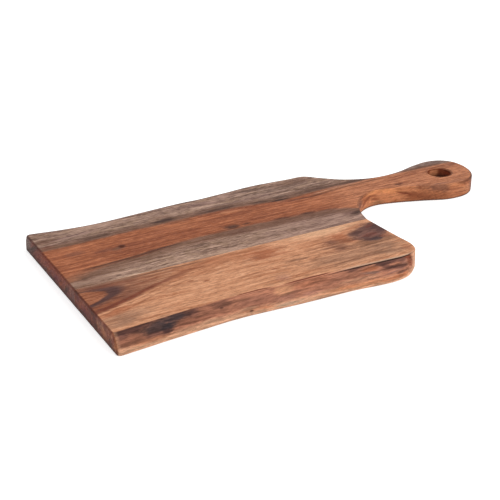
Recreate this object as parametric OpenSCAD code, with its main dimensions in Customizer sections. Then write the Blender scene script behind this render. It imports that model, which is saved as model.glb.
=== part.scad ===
// Paddle serving board of two planks, edge glued, with live edges and a handle with a hang hole.
// It lies flat: X runs from the straight end to the knob, Y from the front edge to the back edge.
// The origin is under the middle of the board, on the surface that it lies on.

/* [Body] */
// Length of the body, from the straight end to the end beside the handle
body_l = 312; // [270:1:360]
// Width over both live edges, measured underneath
board_w = 235; // [215:1:260]
// Thickness of the planks
board_t = 18; // [14:0.5:24]
// Width of the front plank, from the glue line to the widest place of its live edge
front_w = 97.5; // [85:0.5:110]
// Radius of the two corners of the straight end, seen from above
corner_r = 4; // [3:0.5:8]
// Radius of the sanded edges
arris_r = 2; // [1:0.25:2.5]

/* [Front live edge] */
// How far the edge leans in from the bottom to the top
front_lean = 9; // [4:0.5:12]
// How far it leans in at its widest place
front_bulge_lean = 13; // [6:0.5:16]
// Depth of the long hollow in the edge
front_hollow = 9.7; // [4:0.1:14]
// How far the edge stays back at the straight end
front_end_in = 3.3; // [0:0.1:8]
// Width of the round corner beside the handle, along the board
front_corner_l = 42; // [34:1:55]

/* [Back live edge] */
// How far the edge leans in from the bottom to the top
back_lean = 5.5; // [2:0.5:10]
// Depth of the long hollow in the edge
back_hollow = 9.8; // [4:0.1:14]
// Depth of the shallow dip in the edge
back_dip = 4.6; // [2:0.1:8]
// How far the edge stays back at the straight end
back_end_in = 1.9; // [0:0.1:6]

/* [Handle] */
// Length of the handle past the end of the body
handle_l = 176; // [150:1:200]
// Width of the neck
neck_w = 35.5; // [30:0.5:42]
// Distance of the neck's middle from the glue line
neck_y = 71.5; // [64:0.5:76]
// Distance of the neck's narrowest place from the end of the body
neck_x = 64; // [54:1:74]
// Width of the knob
knob_w = 68.7; // [60:0.1:76]
// Distance of the knob's middle, where the hole is, from the glue line
knob_y = 64.7; // [58:0.1:70]
// Distance from the middle of the hole to the tip of the knob
knob_tip = 37.2; // [32:0.1:42]
// Diameter of the hang hole
hole_d = 25.4; // [16:0.1:32]
// Radius of the hole's sanded rims
rim_r = 1.5; // [0.5:0.25:3]

/* [Joint] */
// Thickness of the cured glue film
glue_t = 0.2; // [0.1:0.05:0.5]

/* [Hidden] */

// Flats between two points of a curve
curve_steps = 4;
// Flats of a sanded edge, and of the side between the two sanded edges
arris_steps = 2;
side_steps = 3;
// Angle of one flat of a corner of the straight end
corner_turn = 18;
// What a cutting shape reaches past the wood
over = 10;
$fn = 96;

board_l = body_l + handle_l;
back_w = board_w - front_w;
neck_front = neck_y - neck_w / 2;
neck_back = neck_y + neck_w / 2;
hole = [board_l - knob_tip, knob_y];

// Each point of the outline is [x, y, lean]: its place underneath, with x from the straight end and
// y from the glue line, and how far the top of the edge lies across from it.

// The front live edge, from the straight end to the round corner
front_end_y = front_end_in - front_w;
front_edge = [
    [corner_r, front_end_y, front_lean],
    [0.2 * body_l, 0.64 * front_hollow + 0.36 * front_end_in - front_w, front_lean],
    [0.385 * body_l, front_hollow - front_w, front_lean],
    [0.56 * body_l, 0.65 * front_hollow - front_w, 1.05 * front_lean],
    [0.73 * body_l, 0.42 * front_hollow - front_w, (front_lean + front_bulge_lean) / 2],
    [body_l - front_corner_l, -front_w, front_bulge_lean]
];

// The round corner beside the handle and the end of the body, up to the glue line
corner_h = 0.72 * front_corner_l;
front_corner = [
    [body_l - 0.56 * front_corner_l, 0.09 * corner_h - front_w, 0.72 * front_bulge_lean],
    [body_l - 0.28 * front_corner_l, 0.34 * corner_h - front_w, 0.28 * front_bulge_lean],
    [body_l - 0.08 * front_corner_l, 0.63 * corner_h - front_w, 0.06 * front_bulge_lean],
    [body_l, corner_h - front_w, 0],
    [body_l - 0.03 * front_corner_l, 1.65 * corner_h - front_w, 0]
];

// Where the glue film meets the end of the body
end_x = body_l - 0.085 * front_corner_l;

// The notch that sweeps from the end of the body into the front of the neck
notch_l = 0.76 * neck_x;
notch = [
    [body_l + 0.05 * notch_l, 0.37 * neck_front, 0],
    [body_l + 0.31 * notch_l, 0.75 * neck_front, 0],
    [body_l + 0.68 * notch_l, 0.98 * neck_front, 0],
    [body_l + notch_l, 1.035 * neck_front, 0]
];

// The front of the neck, which widens into the knob
neck_l = handle_l - neck_x - knob_tip;
knob_front = knob_y - knob_w / 2;
neck_front_side = [
    [body_l + neck_x + 0.07 * neck_l, neck_front - 0.03 * knob_w, 0],
    [body_l + neck_x + 0.5 * neck_l, 0.45 * neck_front + 0.55 * knob_front, 0],
    [body_l + neck_x + 0.8 * neck_l, 0.07 * neck_front + 0.93 * knob_front, 0]
];

// The knob, fuller on its back corner than on its front corner
knob_shape = [
    [-0.05, -1], [0.3, -0.965], [0.64, -0.78], [0.88, -0.44], [1, 0.07],
    [0.93, 0.56], [0.67, 0.87], [0.25, 1], [-0.32, 0.92]
];
knob = [for (k = knob_shape) [hole.x + k.x * knob_tip, hole.y + k.y * knob_w / 2, 0]];

// The back of the neck and the shoulder, up to the back live edge
shoulder_h = back_w - neck_back;
back_side = [
    [body_l + neck_x + 0.5 * neck_l, neck_back + 0.002 * shoulder_h, 0],
    [body_l + neck_x + 0.16 * neck_l, neck_back - 0.04 * shoulder_h, 0],
    [body_l + 0.86 * neck_x, neck_back + 0.04 * shoulder_h, 0],
    [body_l + 0.52 * neck_x, neck_back + 0.25 * shoulder_h, 0],
    [body_l + 0.24 * neck_x, neck_back + 0.6 * shoulder_h, -0.3 * back_lean],
    [body_l + 0.02 * neck_x, neck_back + 0.9 * shoulder_h, -0.7 * back_lean]
];

// The back live edge, from the shoulder to the straight end
back_end_y = back_w - back_end_in;
back_edge = [
    [0.94 * body_l, back_w - 0.4 * back_dip, -back_lean],
    [0.8 * body_l, back_w, -back_lean],
    [0.69 * body_l, back_w - 0.55 * back_dip, -back_lean],
    [0.59 * body_l, back_w - back_dip, -back_lean],
    [0.53 * body_l, back_w - 0.88 * back_dip, -back_lean],
    [0.38 * body_l, back_w - 0.72 * back_hollow, -back_lean],
    [0.22 * body_l, back_w - back_hollow, -back_lean],
    [0.11 * body_l, back_w - 0.7 * back_hollow, -back_lean],
    [corner_r, back_end_y, -back_lean]
];

// Value between p, held at tp, and q, held at tq
function mix(p, q, tp, tq, t) = ((tq - t) * p + (t - tp) * q) / (tq - tp);

// How long the curve takes from a to b
function pace(a, b) = sqrt(norm([b.x - a.x, b.y - a.y]));

// Point at the share u of the way from b to c, on a smooth curve through a, b, c and d
function curve_point(a, b, c, d, u) =
    let (tb = pace(a, b))
    let (tc = tb + pace(b, c))
    let (td = tc + pace(c, d))
    let (t = tb + u * (tc - tb))
    let (ab = mix(a, b, 0, tb, t))
    let (bc = mix(b, c, tb, tc, t))
    let (cd = mix(c, d, tc, td, t))
    mix(mix(ab, bc, 0, tc, t), mix(bc, cd, tb, td, t), tb, tc, t);

// Smooth open curve through every point of a list
function curve(p) =
    let (last = len(p) - 1)
    let (q = concat([2 * p[0] - p[1]], p, [2 * p[last] - p[last - 1]]))
    concat(
        [for (i = [1 : last])
            for (k = [0 : curve_steps - 1])
                curve_point(q[i - 1], q[i], q[i + 1], q[i + 2], k / curve_steps)],
        [p[last]]
    );

// Corner of the straight end: the points of its arc at some angles about a centre
function corner(centre, angles, lean) =
    [for (a = angles) [centre.x + corner_r * cos(a), centre.y + corner_r * sin(a), lean]];

// The edge of each plank, anticlockwise seen from above, from one end of the glue film to the other
front_path = concat(
    [[0, -glue_t / 2, 0]],
    corner([corner_r, front_end_y + corner_r], [180 : corner_turn : 270 - corner_turn], front_lean),
    curve(concat(front_edge, front_corner, [[end_x, -glue_t / 2, 0]]))
);
back_path = concat(
    curve(concat([[end_x, glue_t / 2, 0]], notch, neck_front_side, knob, back_side, back_edge)),
    corner([corner_r, back_end_y - corner_r], [90 + corner_turn : corner_turn : 180], -back_lean),
    [[0, glue_t / 2, 0]]
);
film_path = [for (p = [[0, -1], [end_x, -1], [end_x, 1], [0, 1]]) [p.x, p.y * glue_t / 2, 0]];

xs = [for (p = concat(front_path, back_path)) p.x];
ys = [for (p = concat(front_path, back_path)) p.y];
middle = [(min(xs) + max(xs)) / 2, (min(ys) + max(ys)) / 2];

// Rings of the board's side, each [height, how far it stays inside the path], from the bottom up
side_h = board_t - 2 * arris_r;
arris = [for (k = [0 : arris_steps])
    let (a = 90 * k / arris_steps)
    [arris_r * (1 - cos(a)), arris_r * (1 - sin(a))]];
rings = concat(
    arris,
    [for (k = [1 : side_steps - 1]) [arris_r + side_h * k / side_steps, 0]],
    [for (k = [arris_steps : -1 : 0]) [board_t - arris[k].x, arris[k].y]]
);

// Direction out of the wood at each point of a path, along the board where the path meets the glue film
function outward(path) =
    [for (i = [0 : len(path) - 1])
        let (a = path[max(i - 1, 0)])
        let (b = path[min(i + 1, len(path) - 1)])
        abs(path[i].y) < glue_t
            ? [path[i].x > body_l / 2 ? 1 : -1, 0]
            : [b.y - a.y, a.x - b.x] / norm([b.x - a.x, b.y - a.y])];

// Triangles between the two sides of a path, joined like a zip from the straight end towards the tip.
// Side a counts up from the start, side b counts down to it, and x holds how far along each point lies.
function zip(x, tip, a, b) =
    b - a <= 1 ? []
    : a < tip && (b == tip || x[a + 1] < x[b - 1])
        ? concat([[a, a + 1, b]], zip(x, tip, a + 1, b))
        : concat([[a, b - 1, b]], zip(x, tip, a, b - 1));

// Triangles of a flat face inside a path, anticlockwise seen from above
function flat_face(path) =
    let (count = len(path))
    let (start = path[0].x == 0 ? 0 : count - 1)
    let (x = [for (i = [0 : count - 1]) path[(start + i) % count].x])
    let (tip = search(max(x), x)[0])
    [for (t = zip(x, tip, 1, count)) [for (i = t) (start + i) % count]];

// One piece of the board, closed by a plane where its path ends. Its origin is under the board's middle.
// A live edge leans in faster towards its top.
module piece(path) {
    count = len(path);
    top_ring = len(rings) - 1;
    out = outward(path);
    points = [for (r = rings)
        for (i = [0 : count - 1])
            let (lean = path[i].z * pow(max(r.x - arris_r, 0) / (board_t - arris_r), 2))
            [path[i].x - r.y * out[i].x, path[i].y + lean - r.y * out[i].y, r.x]];
    sides = [for (r = [0 : top_ring - 1])
        for (i = [0 : count - 1])
            let (a = r * count + i)
            let (b = r * count + (i + 1) % count)
            each [[a, a + count, b + count], [a, b + count, b]]];
    bottom = flat_face(path);
    top = [for (t = bottom) [for (i = [2, 1, 0]) t[i] + top_ring * count]];
    translate([-middle.x, -middle.y, 0]) polyhedron(points, concat(sides, bottom, top));
}

// The flare of a sanded rim, with its surface at z = 0 and the wood below
module rim_cut() {
    rotate_extrude() difference() {
        translate([0, -rim_r]) square([hole_d / 2 + rim_r, rim_r + over]);
        translate([hole_d / 2 + rim_r, -rim_r]) circle(rim_r);
    }
}

module hang_hole() {
    translate([hole.x - middle.x, hole.y - middle.y, 0]) {
        translate([0, 0, -over]) cylinder(d = hole_d, h = board_t + 2 * over);
        translate([0, 0, board_t]) rim_cut();
        mirror([0, 0, 1]) rim_cut();
    }
}

// Front plank: orange heartwood with a leaning live edge
module front_plank() {
    color([0.70, 0.47, 0.34]) piece(front_path);
}

// Back plank: grey and orange bands, with the handle, knob and hang hole
module back_plank() {
    color([0.56, 0.39, 0.31]) difference() {
        piece(back_path);
        hang_hole();
    }
}

// Cured glue film between the two planed edges
module glue_line() {
    color([0.78, 0.63, 0.45]) piece(film_path);
}

front_plank();
back_plank();
glue_line();
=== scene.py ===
import math

import bpy
import numpy as np
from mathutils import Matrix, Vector
from mathutils.geometry import delaunay_2d_cdt


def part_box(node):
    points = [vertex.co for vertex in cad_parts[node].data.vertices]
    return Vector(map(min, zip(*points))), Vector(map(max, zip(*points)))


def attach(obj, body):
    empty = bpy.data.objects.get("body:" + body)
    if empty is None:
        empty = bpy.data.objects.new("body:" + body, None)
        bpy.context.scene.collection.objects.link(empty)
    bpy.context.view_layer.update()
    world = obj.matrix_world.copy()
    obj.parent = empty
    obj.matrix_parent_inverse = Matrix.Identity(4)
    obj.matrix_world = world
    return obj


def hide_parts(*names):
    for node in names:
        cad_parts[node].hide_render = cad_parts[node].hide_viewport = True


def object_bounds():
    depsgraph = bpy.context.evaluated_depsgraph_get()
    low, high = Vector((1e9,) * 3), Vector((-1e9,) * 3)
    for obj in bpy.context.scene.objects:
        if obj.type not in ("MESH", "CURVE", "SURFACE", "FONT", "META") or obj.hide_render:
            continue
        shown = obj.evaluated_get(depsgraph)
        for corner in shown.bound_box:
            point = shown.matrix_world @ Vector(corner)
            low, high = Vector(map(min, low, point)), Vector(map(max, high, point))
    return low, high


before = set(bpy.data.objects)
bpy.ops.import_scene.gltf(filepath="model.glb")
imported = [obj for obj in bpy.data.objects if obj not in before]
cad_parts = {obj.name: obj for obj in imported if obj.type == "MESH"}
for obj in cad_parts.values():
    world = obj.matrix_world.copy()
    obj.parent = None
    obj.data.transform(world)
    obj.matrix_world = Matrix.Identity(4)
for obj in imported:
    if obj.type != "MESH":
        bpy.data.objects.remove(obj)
cad_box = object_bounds()

# Back plank: the wide plank of acacia, sawn in one with the handle and its knob and drilled for hanging.
# Its back is a sanded live edge, and its front is planed straight for the glue joint.
# Places on the board are in mm: x from the straight end, y from the glue line, z from the underside.

# The frame gives where the board lies, how thick it is, and the thickness and length of the glue joint.
joint_low, joint_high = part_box("glue_line")
MIDDLE = np.round([-1000 * cad_box[0][0], -500 * (joint_low[1] + joint_high[1]), 0.0], 3)
THICK = round(1000 * cad_box[1][2], 3)
GLUE = round(1000 * (joint_high[1] - joint_low[1]), 3)
END_X = round(1000 * (joint_high[0] - joint_low[0]), 3)

# The radius of the sanded arrises, and the width of the flat strip beside them where the faces begin.
TOP_ARRIS = 1.4
LOW_ARRIS = 1.6
FLAT_RIM = 0.5

# The round corners of the straight end, the hole with its sanded rims, and the live edge at the back.
END_CORNER = 4.0
HOLE = (450.8, 64.7)
HOLE_R = 12.7
RIM_R = 1.5
BACK_LEAN = -5.5
BACK_END_Y = 135.6

# The outline as (x, y) points, or (x, y, lean) where the lean changes.
# The lean is how far the top of an edge lies beyond its foot along y.
NOTCH = [(314.43, 19.89), (327.08, 40.31), (345.08, 52.67), (360.64, 55.63)]
NECK_FRONT = [(381.24, 51.69), (413.4, 40.88), (435.84, 31.99)]
KNOB = [
    (448.94, 30.35), (461.96, 31.55), (474.61, 37.91), (483.54, 49.59), (488.0, 67.1),
    (485.4, 83.94), (475.72, 94.58), (460.1, 99.05), (438.9, 96.3),
]
NECK_BACK = [(413.4, 89.35), (387.97, 87.32), (367.04, 91.18), (345.28, 101.31)]
SHOULDER = [(327.36, 118.2, 0.3 * BACK_LEAN), (313.28, 132.68, 0.7 * BACK_LEAN)]
BACK_EDGE = [
    (293.28, 135.66), (249.6, 137.5), (215.28, 134.97), (184.08, 132.9), (165.36, 133.45),
    (118.56, 130.44), (68.64, 127.7), (34.32, 130.64), (END_CORNER, BACK_END_Y),
]


def leaning(points, lean):
    """The (x, y) points of a stretch of edge, with one lean for all of them."""
    return [(x, y, lean) for x, y in points]


def flowing(points, step=1.6):
    """A smooth line through [x, y, lean] points, cut into short steps."""
    p = np.array(points, float)
    q = np.vstack([2 * p[0] - p[1], p, 2 * p[-1] - p[-2]])
    line = []
    for a, b, c, d in zip(q, q[1:], q[2:], q[3:]):
        paces = [math.sqrt(math.dist(m[:2], n[:2])) for m, n in ((a, b), (b, c), (c, d))]
        ta, tb, tc, td = np.cumsum([0.0] + paces)
        count = max(int(math.dist(b[:2], c[:2]) / step), 2)
        for t in tb + (tc - tb) * np.arange(count) / count:
            ab = ((tb - t) * a + (t - ta) * b) / (tb - ta)
            bc = ((tc - t) * b + (t - tb) * c) / (tc - tb)
            cd = ((td - t) * c + (t - tc) * d) / (td - tc)
            abc = ((tc - t) * ab + (t - ta) * bc) / (tc - ta)
            bcd = ((td - t) * bc + (t - tb) * cd) / (td - tb)
            line.append(((tc - t) * abc + (t - tb) * bcd) / (tc - tb))
    return np.array(line + [p[-1]])


CORNER_STEP = 10


def rounded(centre_y, start, lean):
    """The arc of a corner of the straight end: a quarter turn from an angle, without its last step."""
    arc = np.radians(start + np.arange(0, 90, CORNER_STEP))
    return [(END_CORNER * (1 + math.cos(a)), centre_y + END_CORNER * math.sin(a), lean) for a in arc]


def straight(a, b, step=2.0):
    """Points from a towards b, without b."""
    a, b = np.array(a, float), np.array(b, float)
    count = max(int(np.linalg.norm((b - a)[:2]) / step), 1)
    return a + (b - a) * (np.arange(count) / count)[:, None]


def to_model(points):
    """Places on the board, in mm, as places in the model, in metres and inside the CAD box."""
    metres = (np.array(points, float) - MIDDLE) / 1000
    return np.clip(metres, np.array(cad_box[0]), np.array(cad_box[1]))


SHARP_ANGLE = 50


class Skin:
    """The skin of a piece while it is made: its points and faces, and for each point how far it lies on an
    arris, how far it lies on a live edge and whether it stands on a side."""

    def __init__(self):
        self.points = []
        self.faces = []
        self.shares = {"worn": [], "live": [], "side": []}

    def add(self, points, **shares):
        """Takes in points with their shares, 0 where none is given, and gives the numbers of the points."""
        first = len(self.points)
        self.points += list(points)
        for title, values in self.shares.items():
            values += list(np.broadcast_to(shares.get(title, 0.0), len(points)))
        return list(range(first, len(self.points)))

    def wrap(self, rings, inward=False):
        """Faces from each closed ring of points up to the next."""
        for low, high in zip(rings, rings[1:]):
            for i in range(len(low)):
                j = (i + 1) % len(low)
                face = (low[i], high[i], high[j], low[j]) if inward else (low[i], low[j], high[j], high[i])
                self.faces.append(face)

    def make(self, name):
        """The finished piece, shaded smooth between its sharp edges."""
        mesh = bpy.data.meshes.new(name)
        mesh.from_pydata([tuple(point) for point in to_model(self.points)], [], self.faces)
        mesh.validate()
        for title, values in self.shares.items():
            share = mesh.attributes.new(title, "FLOAT", "POINT")
            share.data.foreach_set("value", np.array(values, np.float32))
        mesh.polygons.foreach_set("use_smooth", [True] * len(mesh.polygons))
        mesh.set_sharp_from_angle(angle=math.radians(SHARP_ANGLE))
        piece = bpy.data.objects.new(name, mesh)
        bpy.context.scene.collection.objects.link(piece)
        return piece


# Rings round a side or a bore, closest together on the rounded arrises.
QUARTER = np.radians(np.linspace(0, 90, 7))
FIRST_RING = 2.4
RING_STEP = 0.7


def side_rings():
    """Height, inset and arris share of each ring round a side, from the underside up over both sanded
    arrises.
    """
    low = [(LOW_ARRIS * (1 - math.cos(a)), LOW_ARRIS * (1 - math.sin(a)), 1.0) for a in QUARTER]
    middle = [(z, 0.0, 0.0) for z in np.arange(FIRST_RING, THICK - TOP_ARRIS - RING_STEP / 2, RING_STEP)]
    top = [(TOP_ARRIS * (1 - math.cos(a)), TOP_ARRIS * (1 - math.sin(a))) for a in QUARTER[::-1]]
    top = [(THICK - drop, inset, 1.0) for drop, inset in top]
    return [(0.0, LOW_ARRIS + FLAT_RIM, 0.0)] + low + middle + top + [(THICK, TOP_ARRIS + FLAT_RIM, 0.0)]


# A live edge leans from its foot up. The more it leans, the more it counts as live and the keener its arris.
# The marks of sanding fade out near the joint, which has points of its own at even steps.
LEAN_FOOT = 2.0
LIVE_LEAN = 3.0
KEEN_LEAN = 4.0
JOINT_FADE = 6.0
JOINT_STEP = 3.0


def wrap_side(skin, path, joint, relief, crisp):
    """The side of a plank, ring over ring, closed along its joint. Gives its lowest and highest ring."""
    x, y, lean = path.T
    ahead, behind = np.roll(path, -1, axis=0), np.roll(path, 1, axis=0)
    out = np.stack([ahead[:, 1] - behind[:, 1], behind[:, 0] - ahead[:, 0]], axis=1)
    out /= np.linalg.norm(out, axis=1)[:, None]
    for end in (0, -1):
        out[end] = (1 if x[end] > END_X / 2 else -1, 0)
    free = np.clip(np.abs(y - joint) / JOINT_FADE, 0, 1)
    live = np.clip(np.abs(lean) / LIVE_LEAN, 0, 1)
    keen = 1 - crisp * np.clip((np.abs(lean) - LIVE_LEAN) / KEEN_LEAN, 0, 1)
    joint_count = int(abs(x[0] - x[-1]) / JOINT_STEP)
    along_joint = (np.arange(1, joint_count) / joint_count)[:, None]
    rings = []
    for z, inset, wear in side_rings():
        climb = (max(z - LEAN_FOOT, 0) / (THICK - LEAN_FOOT)) ** 2
        rubbed = inset * keen if z > THICK / 2 and inset <= TOP_ARRIS else inset
        push = relief(x, z, lean) * free - rubbed
        ring = np.stack([x, y + lean * climb, np.full(len(path), z)], axis=1)
        ring[:, :2] += out * push[:, None]
        planed = ring[-1] + (ring[0] - ring[-1]) * along_joint
        upright = 0.0 if z in (0.0, THICK) else 1.0
        rings.append(skin.add(ring, worn=wear, live=live, side=upright) + skin.add(planed, side=upright))
    skin.wrap(rings)
    return rings[0], rings[-1]


BORE_STEP = 1.0
SPIN_STEP = 3.0


def drill(skin, hole):
    """The wall of the hang hole with its two sanded rims. Gives its lowest and its highest ring."""
    rim = [(HOLE_R + RIM_R * (1 - math.sin(a)), RIM_R * (1 - math.cos(a)), 1.0) for a in QUARTER]
    rim = [(HOLE_R + RIM_R + FLAT_RIM, 0.0, 0.0)] + rim
    wall = np.arange(RIM_R + BORE_STEP, THICK - RIM_R - BORE_STEP / 2, BORE_STEP)
    profile = rim + [(HOLE_R, z, 0.0) for z in wall] + [(r, THICK - z, wear) for r, z, wear in rim[::-1]]
    spin = np.radians(np.arange(0, 360, SPIN_STEP))
    rings = []
    for r, z, wear in profile:
        ring = [np.array([hole[0] + r * math.cos(a), hole[1] + r * math.sin(a), z]) for a in spin]
        rings.append(skin.add(ring, worn=wear, side=0.0 if z in (0.0, THICK) else 1.0))
    skin.wrap(rings, inward=True)
    return rings[0], rings[-1]


def inside(points, loop):
    """Which points lie inside a closed loop, seen from above."""
    x, y = points[:, 0], points[:, 1]
    odd = np.zeros(len(points), bool)
    for a, b in zip(loop, np.roll(loop, -1, axis=0)):
        crosses = (a[1] > y) != (b[1] > y)
        if crosses.any():
            odd ^= crosses & (x < (b[0] - a[0]) * (y - a[1]) / (b[1] - a[1] + 1e-12) + a[0])
    return odd


def crossings(xs, ys):
    """Every place where the lines at xs cross the lines at ys."""
    return np.stack(np.meshgrid(xs, ys), axis=-1).reshape(-1, 2)


# A flat face has a coarse grid of points, a finer one round each pit, and none close to its rims.
GRID_STEP = 5.0
GRID_X = np.arange(GRID_STEP / 2, 490.0, GRID_STEP)
GRID_Y = np.arange(-100.0, 140.0, GRID_STEP)
PIT_GRID = np.linspace(-1.5, 1.5, 25)
PIT_CLEAR = 1.7
RIM_CLEAR = 1.6
HOLE_CLEAR = 2.0
MERGE_GAP = 1e-7


def spread(rim, pits, hole):
    """Points spread over a face inside its rim, closer together round each pit and clear of the hole."""
    grid = crossings(GRID_X, GRID_Y)
    for x, y, length, width, _ in pits:
        apart = np.abs(grid[:, 0] - x) > PIT_CLEAR * length
        apart |= np.abs(grid[:, 1] - y) > PIT_CLEAR * width
        grid = np.vstack([grid[apart], crossings(x + PIT_GRID * length, y + PIT_GRID * width)])
    for shift in ((0, 0), (RIM_CLEAR, 0), (-RIM_CLEAR, 0), (0, RIM_CLEAR), (0, -RIM_CLEAR)):
        grid = grid[inside(grid + shift, rim)]
    if hole:
        grid = grid[np.hypot(grid[:, 0] - hole[0], grid[:, 1] - hole[1]) > HOLE_R + RIM_R + HOLE_CLEAR]
    return grid


def sunk(place, pits):
    """How far a place on the top is sunk into the pits, in mm."""
    total = 0.0
    for x, y, length, width, depth in pits:
        reach = math.hypot((place.x - x) / length, (place.y - y) / width)
        if reach < 1:
            total += depth * (1 - reach) ** 2 * (1 + 2 * reach)
    return total


def close_face(skin, rim, bore, level, pits, hole):
    """The top or the underside of a plank, inside its rim and round the bore, with its pits."""
    fence = rim + bore
    outline = np.array([skin.points[i][:2] for i in rim])
    flat = [Vector(skin.points[i][:2]) for i in fence]
    flat += [Vector(place) for place in spread(outline, pits, hole)]
    bore_edges = [(len(rim) + i, len(rim) + (i + 1) % len(bore)) for i in range(len(bore))]
    rim_loop = list(range(len(rim)))
    places, _, triangles, sources, _, _ = delaunay_2d_cdt(flat, bore_edges, [rim_loop], 1, MERGE_GAP)
    numbers = []
    for place, source in zip(places, sources):
        if source and source[0] < len(fence):
            numbers.append(fence[source[0]])
        else:
            numbers += skin.add([np.array([place.x, place.y, level - sunk(place, pits)])])
    for a, b, c in triangles:
        middle = (places[a] + places[b] + places[c]) / 3
        if hole and math.dist(middle, hole) < HOLE_R + RIM_R:
            continue
        turned = (places[b] - places[a]).cross(places[c] - places[a])
        order = (a, b, c) if (turned > 0) == (level > 0) else (a, c, b)
        skin.faces.append(tuple(numbers[i] for i in order))


def plank(name, path, joint, relief, pits, hole=None, crisp=0.0):
    """A plank from its edge path, which runs anticlockwise from one end of the joint to the other.
    relief(x, z, lean) moves its side in or out, pits are hollows (x, y, length, width, depth) of its top,
    and crisp is how much sharper the top arris is along a live edge."""
    skin = Skin()
    low_rim, top_rim = wrap_side(skin, path, joint, relief, crisp)
    low_bore, top_bore = drill(skin, hole) if hole else ([], [])
    close_face(skin, low_rim, low_bore, 0.0, (), hole)
    close_face(skin, top_rim, top_bore, THICK, pits, hole)
    return skin.make(name)


UNEVEN = 0.12
UNEVEN_LEAN = 4.0


def sanded(x, z, lean):
    """The faint unevenness that hand sanding leaves on a live edge, in mm."""
    soft = np.sin(x / 23.0 + z / 5.0) + 0.6 * np.sin(x / 9.7 - z / 3.1) + 0.4 * np.sin(x / 4.3 + z * 1.3)
    return UNEVEN * soft * np.clip(np.abs(lean) / UNEVEN_LEAN, 0, 1) - UNEVEN


back_joint = GLUE / 2
handle_line = leaning([(END_X, back_joint)] + NOTCH + NECK_FRONT + KNOB + NECK_BACK, 0)
back_line = flowing(handle_line + SHOULDER + leaning(BACK_EDGE, BACK_LEAN))
back_corner_y = BACK_END_Y - END_CORNER
back_corner = rounded(back_corner_y, 90 + CORNER_STEP, BACK_LEAN)
back_end = straight((0, back_corner_y, BACK_LEAN), (0, back_joint, 0))[1:]
back_path = np.vstack([back_line, back_corner, back_end, [(0, back_joint, 0)]])
back_pits = [(70.0, 60.0, 3.4, 2.2, 0.9), (391.0, 58.0, 8.0, 1.2, 0.25)]
back_plank = plank("wide_plank", back_path, back_joint, sanded, back_pits, HOLE)
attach(back_plank, "root")
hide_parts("back_plank")


def tone(red, green, blue):
    """A colour read off a colour card, 0 to 255, as the light that it gives back."""
    return tuple(((v / 255 + 0.055) / 1.055) ** 2.4 for v in (red, green, blue)) + (1.0,)


# Growth lines that end between these x fade out there. The others run on to an end of the board.
FADE_FROM = 1
FADE_TO = 486


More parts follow.
